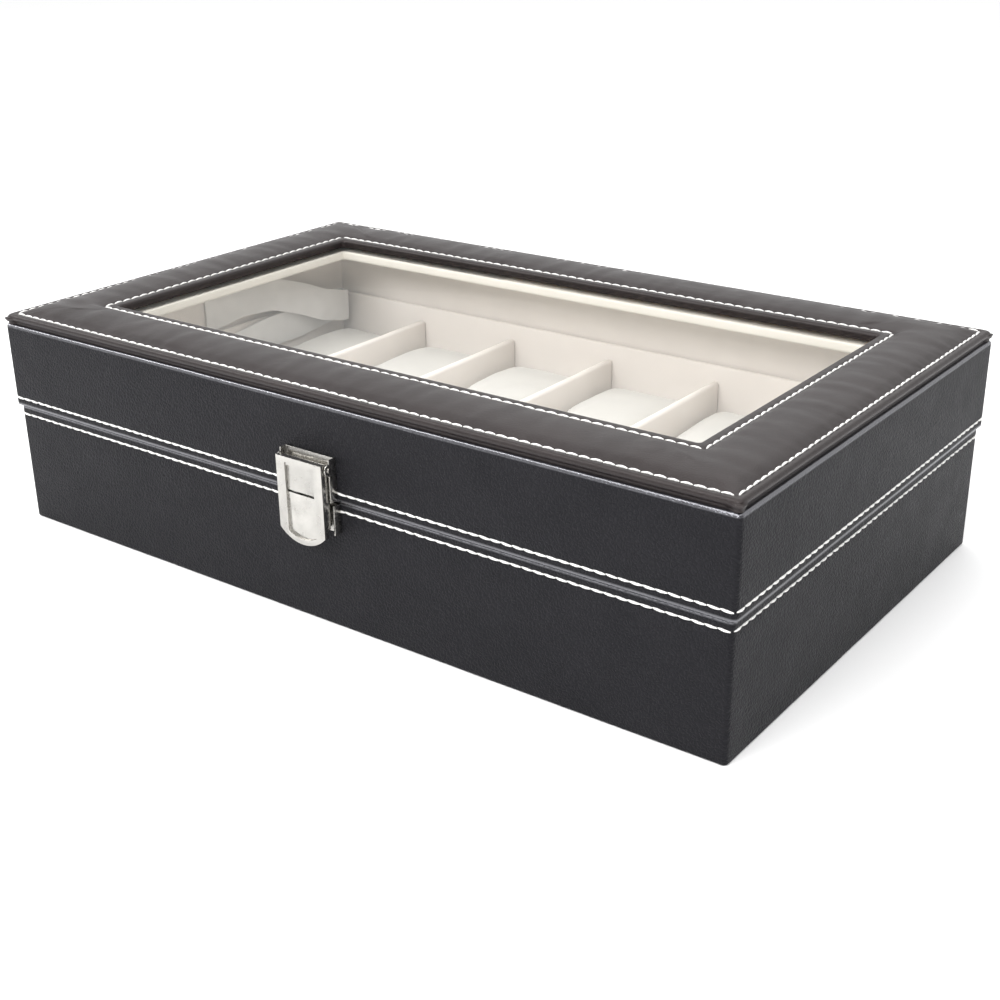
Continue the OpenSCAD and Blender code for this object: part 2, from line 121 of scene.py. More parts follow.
class Shader:
    """A material with a Principled shader, and short ways to add nodes to it."""

    def __init__(self, name, **settings):
        self.material = bpy.data.materials.new(name)
        self.material.use_nodes = True
        self.tree = self.material.node_tree
        self.principled = self.tree.nodes["Principled BSDF"]
        for socket, value in settings.items():
            self.principled.inputs[socket.replace("_", " ")].default_value = value
        self.place = self.add("ShaderNodeTexCoord").outputs["Object"]

    def add(self, kind, links=None, values=None, **settings):
        node = self.tree.nodes.new(kind)
        for name, value in settings.items():
            setattr(node, name, value)
        for socket, value in (values or {}).items():
            node.inputs[socket].default_value = value
        for socket, source in (links or {}).items():
            self.tree.links.new(source, node.inputs[socket])
        return node

    def noise(self, scale, detail=3.0, roughness=0.5, place=None):
        node = self.add("ShaderNodeTexNoise", {"Vector": place or self.place},
                        {"Scale": scale, "Detail": detail, "Roughness": roughness})
        return node.outputs["Fac"]

    def cells(self, scale, feature="F1", place=None):
        node = self.add("ShaderNodeTexVoronoi", {"Vector": place or self.place},
                        {"Scale": scale}, feature=feature)
        return node.outputs["Distance"]

    def remap(self, value, low, high, to_low=0.0, to_high=1.0):
        node = self.add("ShaderNodeMapRange", {"Value": value},
                        {"From Min": low, "From Max": high,
                         "To Min": to_low, "To Max": to_high})
        return node.outputs["Result"]

    def maths(self, operation, a, b):
        node = self.add("ShaderNodeMath", operation=operation)
        for socket, value in zip(node.inputs, (a, b)):
            if isinstance(value, bpy.types.NodeSocket):
                self.tree.links.new(value, socket)
            else:
                socket.default_value = value
        return node.outputs[0]

    def mix(self, factor, a, b):
        node = self.add("ShaderNodeMix", {"Factor": factor}, data_type="RGBA")
        for socket, value in ((node.inputs["A"], a), (node.inputs["B"], b)):
            if isinstance(value, bpy.types.NodeSocket):
                self.tree.links.new(value, socket)
            else:
                socket.default_value = (*value, 1)
        return node.outputs["Result"]

    def bump(self, height, distance_mm, strength=1.0, after=None):
        node = self.add("ShaderNodeBump", {"Height": height},
                        {"Distance": distance_mm * MM, "Strength": strength})
        if after:
            self.tree.links.new(after, node.inputs["Normal"])
        return node.outputs["Normal"]

    def finish(self, color=None, roughness=None, normal=None):
        for socket, source in (("Base Color", color), ("Roughness", roughness),
                               ("Normal", normal)):
            if source:
                self.tree.links.new(source, self.principled.inputs[socket])
        return self.material


def per_mm(size):
    """A texture's scale for features of that size in millimetres."""
    return 1 / (size * MM)


def make_leather(name, dark, light, valley_shade, grain_mm, grain_depth, rough, level, tint,
                 edges_mm=()):
    """level is the specular level. edges_mm are heights where the leather is pulled
    smooth over an edge, and shinier than real leather, for the rim's bright line."""
    shader = Shader(name, Specular_IOR_Level=level, Specular_Tint=(*tint, 1))
    pebbles = shader.cells(per_mm(grain_mm), "DISTANCE_TO_EDGE")
    raised = shader.remap(pebbles, 0.0, 0.22)
    fine = shader.noise(per_mm(0.35), 2)
    height = shader.maths("ADD", raised, shader.maths("MULTIPLY", fine, 0.5))
    patches = shader.noise(per_mm(22), 4, 0.6)
    color = shader.mix(shader.remap(patches, 0.3, 0.7), dark, light)
    # Painted shade: the valleys between the pebbles get the third, darker colour, as if they lay in shadow.
    color = shader.mix(shader.remap(raised, 0.0, 0.7, 0.35, 0.0), color, valley_shade)
    gloss = shader.remap(shader.noise(per_mm(9), 3), 0.3, 0.7, rough - 0.02, rough + 0.03)
    if edges_mm:
        z = shader.add("ShaderNodeSeparateXYZ", {"Vector": shader.place}).outputs["Z"]
        pulled = 0.0
        for edge in edges_mm:
            away = shader.maths("ABSOLUTE", shader.maths("SUBTRACT", z, edge * MM), 0.0)
            near = shader.remap(away, 0.7 * MM, 1.3 * MM, 1.0, 0.0)
            pulled = shader.maths("MAXIMUM", near, pulled)
        gloss = shader.maths("SUBTRACT", gloss, shader.maths("MULTIPLY", pulled, 0.24))
        plain = shader.maths("SUBTRACT", 1.0, shader.maths("MULTIPLY", pulled, 0.85))
        height = shader.maths("MULTIPLY", height, plain)
        shine = shader.maths("ADD", level, shader.maths("MULTIPLY", pulled, 2.0))
        shader.tree.links.new(shine, shader.principled.inputs["Specular IOR Level"])
    soft = shader.bump(shader.noise(per_mm(6), 3), 0.25, 0.5)
    return shader.finish(color, gloss, shader.bump(height, grain_depth, 0.9, soft))


def make_cloth(name, dark, light, nap_mm, depth, sheen):
    shader = Shader(name, Sheen_Weight=sheen, Sheen_Roughness=0.5,
                    Specular_IOR_Level=0.2)
    nap = shader.noise(per_mm(nap_mm), 4, 0.65)
    brushed = shader.noise(per_mm(14), 3, 0.6)
    mixed = shader.maths("ADD", shader.maths("MULTIPLY", nap, 0.5),
                         shader.maths("MULTIPLY", brushed, 0.5))
    color = shader.mix(shader.remap(mixed, 0.38, 0.62), dark, light)
    rough = shader.remap(nap, 0.3, 0.7, 0.85, 0.97)
    soft = shader.bump(brushed, 0.3, 0.4)
    return shader.finish(color, rough, shader.bump(nap, depth, 0.8, soft))


def make_metal(name, color, rough):
    shader = Shader(name, Metallic=1.0)
    stretched = shader.add("ShaderNodeMapping", {"Vector": shader.place},
                           {"Scale": (1, 1, 0.06)}).outputs["Vector"]
    brushing = shader.noise(per_mm(0.12), 2, place=stretched)
    smears = shader.noise(per_mm(5), 3)
    tone = shader.mix(shader.remap(smears, 0.35, 0.7), color,
                      tuple(0.88 * c for c in color))
    gloss = shader.remap(smears, 0.3, 0.7, rough - 0.04, rough + 0.06)
    return shader.finish(tone, gloss, shader.bump(brushing, 0.01, 0.35))


def make_thread(name):
    shader = Shader(name, Sheen_Weight=0.3, Specular_IOR_Level=0.4)
    strands = shader.add("ShaderNodeTexWave", {"Vector": shader.place},
                         {"Scale": per_mm(2.4), "Distortion": 0.6},
                         bands_direction="DIAGONAL").outputs["Fac"]
    color = shader.mix(strands, (0.80, 0.79, 0.76), (0.95, 0.94, 0.92))
    return shader.finish(color, shader.remap(strands, 0, 1, 0.75, 0.5),
                         shader.bump(strands, 0.12, 0.8))


def make_ribbon(name):
    shader = Shader(name, Sheen_Weight=0.5, Sheen_Roughness=0.3, Roughness=0.38,
                    Alpha=0.9)
    ribs = shader.add("ShaderNodeTexWave", {"Vector": shader.place},
                      {"Scale": per_mm(1.3), "Distortion": 0.2},
                      bands_direction="Y").outputs["Fac"]
    color = shader.mix(shader.remap(shader.noise(per_mm(8), 2), 0.3, 0.7),
                       (0.90, 0.89, 0.87), (0.97, 0.96, 0.94))
    return shader.finish(color, None, shader.bump(ribs, 0.05, 0.6))


def make_glass(name):
    shader = Shader(name, Roughness=0.03, Alpha=0.05, Specular_IOR_Level=0.6)
    tint = shader.mix(shader.noise(per_mm(60), 2), (0.94, 0.97, 0.96), (0.97, 0.98, 0.97))
    return shader.finish(tint)


def make_board(name):
    shader = Shader(name, Specular_IOR_Level=0.2)
    fibres = shader.noise(per_mm(0.8), 6, 0.7)
    color = shader.mix(shader.remap(fibres, 0.3, 0.7), (0.30, 0.19, 0.10),
                       (0.46, 0.32, 0.19))
    return shader.finish(color, shader.remap(fibres, 0.3, 0.7, 0.8, 0.95),
                         shader.bump(fibres, 0.1))


def make_foam(name):
    shader = Shader(name, Specular_IOR_Level=0.1)
    bubbles = shader.cells(per_mm(0.7))
    # Painted shade: the colour is darker at the bottom of each bubble's pit, where the bump is lowest.
    color = shader.mix(shader.remap(bubbles, 0, 0.6), (0.55, 0.52, 0.42),
                       (0.78, 0.75, 0.64))
    return shader.finish(color, shader.remap(bubbles, 0, 0.6, 0.85, 0.98),
                         shader.bump(bubbles, 0.25))


WALL_TOP_Z = box_mm("lid_leather")[1][2]
SEAM_Z = (box_mm("base_leather")[1][2] + box_mm("lid_leather")[0][2]) / 2
# The third colour of this leather is a darker painted shade for the valleys of its grain.
WALL_LEATHER = make_leather("wall_leather", (0.0085, 0.0083, 0.0101),
                            (0.0118, 0.0114, 0.0136), (0.0035, 0.0035, 0.004),
                            1.25, 0.17, 0.48, 0.15, (0.93, 0.93, 1.0),
                            (WALL_TOP_Z, SEAM_Z))
# The third colour here is also a darker painted shade for the valleys of the grain.
FRAME_LEATHER = make_leather("frame_leather", (0.0145, 0.0108, 0.0108),
                             (0.021, 0.0158, 0.0155), (0.009, 0.0075, 0.0075),
                             0.8, 0.03, 0.38, 0.36, (1.0, 0.93, 0.92))
LINING = make_cloth("cream_lining", (0.82, 0.765, 0.71), (0.87, 0.815, 0.76),
                    0.5, 0.05, 0.25)
RETAINER = make_cloth("retainer_lining", (0.78, 0.745, 0.66), (0.83, 0.79, 0.705),
                      0.5, 0.05, 0.25)
CUSHION = make_cloth("cushion_cloth", (0.555, 0.538, 0.50), (0.605, 0.59, 0.548),
                     0.6, 0.06, 0.35)
FELT = make_cloth("bottom_felt", (0.012, 0.012, 0.013), (0.03, 0.03, 0.032),
                  0.4, 0.15, 0.1)
NICKEL = make_metal("nickel", (0.50, 0.487, 0.46), 0.24)
THREAD = make_thread("thread")
RIBBON = make_ribbon("ribbon")
GLASS = make_glass("glass")
BOARD = make_board("fibreboard")
FOAM = make_foam("foam")

# ---- Mesh helpers -----------------------------------------------------------


def make_piece(name, points_mm, faces, material, body, replaces=(), angle=35):
    mesh = bpy.data.meshes.new(name)
    mesh.from_pydata([tuple(p) for p in np.asarray(points_mm) * MM], [], faces)
    return add_piece(name, mesh, material, body, replaces, angle)


def add_piece(name, mesh, material, body, replaces=(), angle=35):
    """body is None for a piece that spans two bodies; it is attached to neither."""
    bm = bmesh.new()
    bm.from_mesh(mesh)
    bmesh.ops.recalc_face_normals(bm, faces=bm.faces)
    bm.to_mesh(mesh)
    bm.free()
    mesh.materials.clear()
    mesh.materials.append(material)
    for polygon in mesh.polygons:
        polygon.use_smooth = True
    mesh.set_sharp_from_angle(angle=math.radians(angle))
    piece = bpy.data.objects.new(name, mesh)
    bpy.context.collection.objects.link(piece)
    if body:
        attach(piece, body)
    if replaces:
        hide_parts(*replaces)
    return piece


CORNER_STEPS = 6


def ring_path(half, inset, radius, step):
    """Points of a rounded rectangle, inset from its half sizes, with the same
    number of points for every inset. Rows are x, y, corner share, arc place."""
    x, y = half[0] - inset, half[1] - inset
    points = []
    for turn, (cx, cy, length) in enumerate((
            (x, -y, 2 * half[1]), (x, y, 2 * half[0]),
            (-x, y, 2 * half[1]), (-x, -y, 2 * half[0]))):
        centre = np.array([cx - math.copysign(radius, cx), cy - math.copysign(radius, cy)])
        start = math.radians(-90 + 90 * turn)
        for k in range(CORNER_STEPS + 1):
            a = start + math.radians(90) * k / CORNER_STEPS
            points.append([*(centre + radius * np.array([math.cos(a), math.sin(a)])), 1.0])
        end = points[-1]
        along = np.array([-math.sin(start + math.pi / 2), math.cos(start + math.pi / 2)])
        run = length - 2 * inset - 2 * radius
        count = max(2, round(length / step))
        for k in range(1, count):
            near = min(k, count - k) / count * run
            points.append([*(np.array(end[:2]) + along * run * k / count),
                           math.exp(-near / 2.5)])
    return np.array(points)


def sweep(half, profile, radius_at, step, move=None):
    """Sweeps a closed profile of (inset, height) round a rounded rectangle.
    move(points, inset, height) may shift each ring of points."""
    rings = []
    for inset, height in profile:
        path = ring_path(half, inset, radius_at(inset), step)
        ring = np.column_stack([path[:, :2], np.full(len(path), height)])
        if move:
            ring = move(ring, path, inset, height)
        rings.append(ring)
    count = len(rings[0])
    total = len(rings)
    faces = [(i * count + k, i * count + (k + 1) % count,
              ((i + 1) % total) * count + (k + 1) % count,
              ((i + 1) % total) * count + k)
             for i in range(total) for k in range(count)]
    return np.concatenate(rings), faces


def refine(profile, step):
    """Adds points to a closed profile so that no stretch is longer than step."""
    fine = []
    for a, b in zip(profile, profile[1:] + profile[:1]):
        a, b = np.array(a, float), np.array(b, float)
        count = max(1, math.ceil(np.linalg.norm(b - a) / step))
        fine += [tuple(a + (b - a) * k / count) for k in range(count)]
    return fine


def arc(centre, radius, start, end, steps=5):
    """Points of (inset, height) round an arc, angles in degrees from +inset."""
    angles = [math.radians(start + (end - start) * k / steps) for k in range(steps + 1)]
    return [(centre[0] + radius * math.cos(a), centre[1] + radius * math.sin(a))
            for a in angles]


def groove(height, depth=0.22, half_width=0.75, steps=6):
    """A shallow valley in a wall's outer face, from below to above."""
    points = []
    for k in range(steps + 1):
        t = -1 + 2 * k / steps
        points.append((depth * (0.5 + 0.5 * math.cos(math.pi * t)),
                       height + half_width * t))
    return points


def value_noise(x, y, z=0.0):
    return noise.noise(Vector((x, y, z)))


def bevelled(node, material, body, width_mm, angle=28, segments=2):
    """A copy of a CAD node with its sharp edges rounded, standing for the node."""
    bm = bmesh.new()
    bm.from_mesh(nodes[node].data)
    bmesh.ops.remove_doubles(bm, verts=bm.verts, dist=1e-6)
    bmesh.ops.dissolve_limit(bm, angle_limit=math.radians(1), verts=bm.verts,
                             edges=bm.edges)
    sharp = [e for e in bm.edges
             if len(e.link_faces) == 2 and e.calc_face_angle(0) > math.radians(angle)]
    bmesh.ops.bevel(bm, geom=sharp, offset=width_mm * MM, segments=segments,
                    profile=0.5, affect="EDGES", clamp_overlap=True)
    mesh = bpy.data.meshes.new(node + "_finished")
    bm.to_mesh(mesh)
    bm.free()
    return add_piece(node + "_finished", mesh, material, body, [node], 40)


def soft_block(name, low, high, radius, material, body, replaces, step=6.0,
               swell=0.0):
    """A wrapped board: a block with rounded edges, its faces a little padded."""
    bm = bmesh.new()
    bmesh.ops.create_cube(bm, size=1)
    size, middle = high - low, (high + low) / 2
    for v in bm.verts:
        v.co = Vector(np.array(v.co) * (size - 2 * swell) + middle)
    for axis in range(3):
        cuts = int(size[axis] / step)
        for k in range(1, cuts):
            at = Vector(middle)
            at[axis] = low[axis] + size[axis] * k / cuts
            normal = Vector((0, 0, 0))
            normal[axis] = 1
            bmesh.ops.bisect_plane(bm, geom=bm.verts[:] + bm.edges[:] + bm.faces[:],
                                   plane_co=at, plane_no=normal)
    sharp = [e for e in bm.edges if e.calc_face_angle(0) > math.radians(60)]
    bmesh.ops.bevel(bm, geom=sharp, offset=radius, segments=3, profile=0.5,
                    affect="EDGES")
    for v in bm.verts:
        rise = swell * (0.6 + 0.8 * value_noise(*(v.co / 9)))
        v.co += v.normal * rise
        v.co = Vector(np.clip(np.array(v.co), low, high))
    for v in bm.verts:
        v.co *= MM
    mesh = bpy.data.meshes.new(name)
    bm.to_mesh(mesh)
    bm.free()
    return add_piece(name, mesh, material, body, replaces, 50)


# ---- Driving dimensions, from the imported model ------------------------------

lid_low, lid_high = box_mm("lid_leather")
base_low, base_high = box_mm("base_leather")
LID_HALF = lid_high[:2]
BASE_HALF = base_high[:2]
LID_Z, RIM_Z = lid_low[2], lid_high[2]
BASE_TOP = base_high[2]
LID_WALL = LID_HALF[0] - box_mm("lid_lining")[1][0]
BASE_WALL = BASE_HALF[0] - box_mm("bottom_board")[1][0]
BOARD_TOP = box_mm("frame_board")[1][2]
LIP_Z = BOARD_TOP + 1
FRAME_W = 29.0
GROOVE_INSET = 1.5
REBATE_Z = box_mm("glass_pane")[1][2] + 0.2
STITCH_PITCH = 4.0
LID_STITCH_Z = LID_Z + 3.0
BASE_STITCH_Z = BASE_TOP - 3.2
OUTER_STITCH = 3.4
INNER_STITCH = 25.2
INNER_RISE = 0.85
CORNER_R = 1.6
LEATHER = 0.8

# ---- Leather walls ----------------------------------------------------------


def wall_profile(z0, z1, wall, stitch_z, low_r, top_r):
    """The outside of a leather wrap, its edges rolled over the boards."""
    outside = arc((low_r, z0 + low_r), low_r, 270, 180)
    outside += groove(stitch_z)
    outside += arc((top_r, z1 - top_r), top_r, 180, 90)
    inside = [(wall, z1), (wall, z1 - LEATHER), (LEATHER, z1 - LEATHER),
              (LEATHER, z0 + LEATHER), (wall, z0 + LEATHER), (wall, z0)]
    return outside + inside


def soft_wall(ring, path, inset, height):
    """The leather's face isn't quite flat."""
    if inset < 0.5:
        for k, p in enumerate(ring):
            dent = 0.10 * (0.5 + value_noise(p[0] / 17, p[1] / 17, height / 12))
            dent *= 1 - path[k, 2]
            outermost = np.abs(p[:2]) > np.abs(p[:2]).max() - 1
            ring[k, :2] -= np.sign(p[:2]) * dent * outermost
    return ring


def make_wall(name, node, half, z0, z1, wall, stitch_z, low_r, top_r, body):
    profile = refine(wall_profile(z0, z1, wall, stitch_z, low_r, top_r), 4.0)
    points, faces = sweep(half, profile, lambda d: max(CORNER_R - d, 0.05), 6.0, soft_wall)
    return make_piece(name, points, faces, WALL_LEATHER, body, [node], 60)


make_wall("lid_wall_leather", "lid_leather", LID_HALF, LID_Z, RIM_Z, LID_WALL - 0.6,
          LID_STITCH_Z, 0.5, 1.0, "lid")
make_wall("base_wall_leather", "base_leather", BASE_HALF, 0.0, BASE_TOP, BASE_WALL,
          BASE_STITCH_Z, 0.9, 0.6, "base")

# ---- Padded top frame -------------------------------------------------------

CROWN = 1.9
CREASE = 0.45
LIP_R = 1.2
INNER_LIP_R = 1.4
TURN_DOWN = 0.9
OVER_CAD = 0.4


def frame_profile():
    """Groove, lip, padded crown and inner lip, then back under the leather."""
    from_u, to_u = OUTER_STITCH, INNER_STITCH
    points = [(GROOVE_INSET, RIM_Z + 0.05), (GROOVE_INSET, RIM_Z + 0.9),
              (1.1, RIM_Z + 1.0)]
    points += arc((1.75, LIP_Z - LIP_R - 0.05), LIP_R, 200, 95, 9)
    points += [(2.2, LIP_Z - 0.05), (2.9, LIP_Z - 0.2)]
    points.append((from_u, LIP_Z - CREASE))
    steps = 26
    for k in range(1, steps):
        t = k / steps
        rise = CROWN * math.sin(math.pi * t) ** 0.72
        points.append((from_u + (to_u - from_u) * t,
                       LIP_Z - CREASE * (1 - min(1, 6 * min(t, 1 - t))) + rise
                       + INNER_RISE * t))
    top = LIP_Z + INNER_RISE
    points += [(to_u, top - CREASE), (to_u + 0.5, top - 0.12),
               (to_u + 1.0, top + 0.02), (to_u + 1.9, top)]
    points += arc((FRAME_W - INNER_LIP_R, top - INNER_LIP_R), INNER_LIP_R, 90, 0, 6)
    under = BOARD_TOP + 0.02
    points += [(FRAME_W, REBATE_Z), (FRAME_W - TURN_DOWN, REBATE_Z),
               (FRAME_W - TURN_DOWN, under),
               (GROOVE_INSET + 0.4, under), (GROOVE_INSET + 0.4, RIM_Z + 0.05)]
    return points


def frame_radius(inset):
    """Corners are tight at both edges and softer over the padding."""
    t = min(max((inset - OUTER_STITCH) / (INNER_STITCH - OUTER_STITCH), 0), 1)
    return 1.4 + 3.5 * math.sin(math.pi * t)


def pull_frame(ring, path, inset, height):
    """Puckers at the stitches, soft wrinkles over the padding, and at each
    corner the leather folded down into the groove."""
    if height < BOARD_TOP + 0.5 and inset > 1.6:
        return ring
    crown = OUTER_STITCH < inset < INNER_STITCH
    for k, p in enumerate(ring):
        on_long = abs(p[1]) / LID_HALF[1] > abs(p[0]) / LID_HALF[0]
        along = p[0] if on_long else p[1]
        beat = 0.5 + 0.5 * math.cos(2 * math.pi * along / STITCH_PITCH)
        near = min(abs(inset - OUTER_STITCH), abs(inset - INNER_STITCH))
        if height > LIP_Z - 1:
            p[2] -= 0.16 * beat * math.exp(-(near / 1.6) ** 2)
        if crown:
            depth = min(inset - OUTER_STITCH, INNER_STITCH - inset)
            fold = value_noise(along / 5.5, inset / 26, 3.0)
            broad = value_noise(p[0] / 31, p[1] / 31, 7.0)
            p[2] += min(depth / 3, 1) * (0.42 * fold + 0.36 * broad)
        if inset < 1.6 and height < LIP_Z - 1.2:
            p[:2] += np.sign(p[:2]) * 0.9 * path[k, 2] * (path[k, 2] > 0.6)
    return ring


def make_frame():
    profile = refine(frame_profile(), 2.0)
    points, faces = sweep(LID_HALF, profile, frame_radius, 1.0, pull_frame)
    points[:, 0] = np.clip(points[:, 0], -LID_HALF[0], LID_HALF[0])
    points[:, 2] = np.minimum(points[:, 2], cad_box[1][2] / MM + OVER_CAD)
    piece = make_piece("frame_padded_leather", points, faces, FRAME_LEATHER, "lid",
                       ["frame_leather"], 70)


make_frame()

# ---- Stitching --------------------------------------------------------------


TOP_STITCH = {"upright": False, "radius": 0.42, "length": 3.6, "slant": 2}
WALL_STITCH = {"upright": True, "radius": 0.42, "length": 3.9, "slant": -3}
TOP_SINK = 0.22
WALL_SINK = 0.12
END_GAP = 0.75


def stitch_template(length, radius, sides=8, rings=8):
    """One stitch along +X that dips into the leather at both ends."""
    points, faces = [], []
    for i in range(rings + 1):
        t = i / rings
        swell = math.sin(math.pi * min(max(t, 0.04), 0.96)) ** 0.35
        x = (t - 0.5) * length
        z = 0.2 * math.sin(math.pi * t) - 0.1
        for k in range(sides):
            a = 2 * math.pi * k / sides
            points.append([x, radius * swell * math.cos(a),
                           z + 0.85 * radius * swell * math.sin(a)])
    for i in range(rings):
        for k in range(sides):
            faces.append((i * sides + k, i * sides + (k + 1) % sides,
                          (i + 1) * sides + (k + 1) % sides, (i + 1) * sides + k))
    faces.append(tuple(range(sides)))
    faces.append(tuple(rings * sides + k for k in range(sides)))
    return np.array(points), faces


def stitch_places(half, inset):
    """Middle and direction of each stitch round a rectangle."""
    x, y = half[0] - inset, half[1] - inset
    for start, end in (((-x, -y), (x, -y)), ((x, -y), (x, y)),
                       ((x, y), (-x, y)), ((-x, y), (-x, -y))):
        start, end = np.array(start), np.array(end)
        length = np.linalg.norm(end - start)
        run = length - 2 * END_GAP
        count = round(run / STITCH_PITCH)
        direction = (end - start) / length
        for k in range(count):
            yield start + direction * ((k + 0.5) * run / count + END_GAP), direction


def stitch_row(name, half, inset, height, body, seed, upright, radius, length, slant):
    """A row round the box. upright stitches lie in a wall, the others on top, and
    slant is their mean turn in degrees."""
    rng = random.Random(seed)
    template, template_faces = stitch_template(length, radius)
    points, faces = [], []
    for middle, direction in stitch_places(half, inset):
        outward = np.array([direction[1], -direction[0], 0])
        normal = outward if upright else np.array([0, 0, 1.0])
        along = np.array([*direction, 0.0])
        across = np.cross(normal, along)
        turn = math.radians(slant + rng.uniform(-2.5, 2.5))
        x_axis = along * math.cos(turn) + across * math.sin(turn)
        y_axis = np.cross(normal, x_axis)
        scale = rng.uniform(0.96, 1.04)
        place = np.array([*middle, height]) + normal * rng.uniform(-0.04, 0.04)
        offset = len(points)
        points += list(place + scale * (template[:, :1] * x_axis
                                        + template[:, 1:2] * y_axis
                                        + template[:, 2:] * normal))
        faces += [tuple(offset + v for v in face) for face in template_faces]
    return make_piece(name, points, faces, THREAD, body, angle=60)


stitch_row("frame_outer_stitching", LID_HALF, OUTER_STITCH, LIP_Z - TOP_SINK, "lid", 11,
           **TOP_STITCH)
stitch_row("frame_inner_stitching", LID_HALF, INNER_STITCH,
           LIP_Z + INNER_RISE - TOP_SINK, "lid", 12, **TOP_STITCH)
stitch_row("lid_wall_stitching", LID_HALF, WALL_SINK, LID_STITCH_Z, "lid", 13,
           **WALL_STITCH)
stitch_row("base_wall_stitching", BASE_HALF, WALL_SINK, BASE_STITCH_Z, "base", 14,
           **WALL_STITCH)

# ---- Lined tray, dividers and lid lining ------------------------------------

for side in ("front", "back", "left", "right"):
    node = side + "_liner"
    low, high = box_mm(node)
    soft_block(node + "_panel", low, high, 0.7, LINING, "base", [node],
               step=8.0, swell=0.08)

for node in ["long_divider"] + [f"cross_divider_{k}" for k in range(1, 6)]:
    low, high = box_mm(node)
    soft_block(node + "_wrapped", low, high, 1.2, LINING, "base", [node],
               step=6.0, swell=0.12)


def make_lid_lining():
    low, high = box_mm("lid_lining")
    inner = high[:2]
    profile = [(0.0, low[2] + 0.3), (0.25, low[2]), (0.6, low[2] + 0.2)]
    profile += [(0.6, high[2]), (0.0, high[2])]

    def ripple(ring, path, inset, height):
        if inset > 0.5 and low[2] + 1 < height < high[2] - 0.5:
            for k, p in enumerate(ring):
                dent = 0.12 * value_noise(p[0] / 24, p[1] / 24, height / 14)
                ring[k, :2] -= np.sign(p[:2]) * max(dent, 0)
        return ring

    points, faces = sweep(inner, refine(profile, 4.0), lambda d: 0.05, 8.0, ripple)
    make_piece("lid_lining_cloth", points, faces, LINING, "lid",
               ["lid_lining"], 50)


make_lid_lining()


def make_retainer():
    low, high = box_mm("glass_retainer")
    glass_low, glass_high = box_mm("glass_pane")
    outer = high[:2]
    rebate = outer[0] - glass_high[0] - 0.2
    window = FRAME_W - (LID_HALF[0] - outer[0]) + 0.3
    profile = [(0, low[2]), (0, high[2]), (rebate, high[2]), (rebate, glass_low[2])]
    profile += arc((window - 0.7, glass_low[2] - 0.7), 0.7, 90, 0, 4)
    profile += arc((window - 0.9, low[2] + 0.9), 0.9, 0, -90, 4)
    points, faces = sweep(outer, refine(profile, 5.0), lambda d: 0.05 + 0.03 * d, 8.0)
    make_piece("glass_retainer_wrapped", points, faces, RETAINER, "lid",
               ["glass_retainer"], 40)


make_retainer()

# ---- Cushions ---------------------------------------------------------------

PILLOW_DOME = 2.6
PILLOW_ROUNDING = 5
PILLOW_MESH = 2.5
CLOTH_TRAVEL = 3.2
CLOTH_FRAMES = 20
SIDE_SOFTNESS = 0.6


def starting_pillow(size):
    """A rounded block, smaller than its slot, remeshed evenly for the cloth."""
    bm = bmesh.new()
    bmesh.ops.create_cube(bm, size=1)
    for v in bm.verts:
        v.co = Vector(np.array(v.co) * size * MM)
    bmesh.ops.bevel(bm, geom=bm.edges[:], offset=PILLOW_ROUNDING * MM, segments=4,
                    profile=0.5, affect="EDGES")
    mesh = bpy.data.meshes.new("pillow_start")
    bm.to_mesh(mesh)
    bm.free()
    start = bpy.data.objects.new("pillow_start", mesh)
    bpy.context.collection.objects.link(start)
    remesh = start.modifiers.new("remesh", "REMESH")
    remesh.mode = "VOXEL"
    remesh.voxel_size = PILLOW_MESH * MM
    return start


def evaluated_points(piece):
    mesh = piece.evaluated_get(bpy.context.evaluated_depsgraph_get()).to_mesh()
    points = np.array([v.co for v in mesh.vertices])
    faces = [tuple(p.vertices) for p in mesh.polygons]
    return points, faces


def swell_pillow(size):
    """Cloth blown up by pressure, with each point's travel capped."""
    start = starting_pillow(size)
    points, faces = evaluated_points(start)
    bpy.data.objects.remove(start)
    mesh = bpy.data.meshes.new("pillow_cloth")
    mesh.from_pydata([tuple(p) for p in points], [], faces)
    cloth_piece = bpy.data.objects.new("pillow_cloth", mesh)
    bpy.context.collection.objects.link(cloth_piece)
    moved = points
    cloth = cloth_piece.modifiers.new("cloth", "CLOTH")
    cloth.settings.quality = 6
    cloth.settings.mass = 0.15
    cloth.settings.use_pressure = True
    cloth.settings.uniform_pressure_force = 4
    cloth.settings.effector_weights.gravity = 0
    cloth.settings.tension_stiffness = 25
    cloth.settings.bending_stiffness = 0.8
    scene = bpy.context.scene
    for step in range(1, CLOTH_FRAMES + 1):
        scene.frame_set(step)
    moved, _ = evaluated_points(cloth_piece)
    scene.frame_set(1)
    bpy.data.objects.remove(cloth_piece)
    travel = moved - points
    length = np.linalg.norm(travel, axis=1, keepdims=True)
    travel *= np.minimum(1, CLOTH_TRAVEL * MM / np.maximum(length, 1e-9))
    return (points + travel) / MM, faces


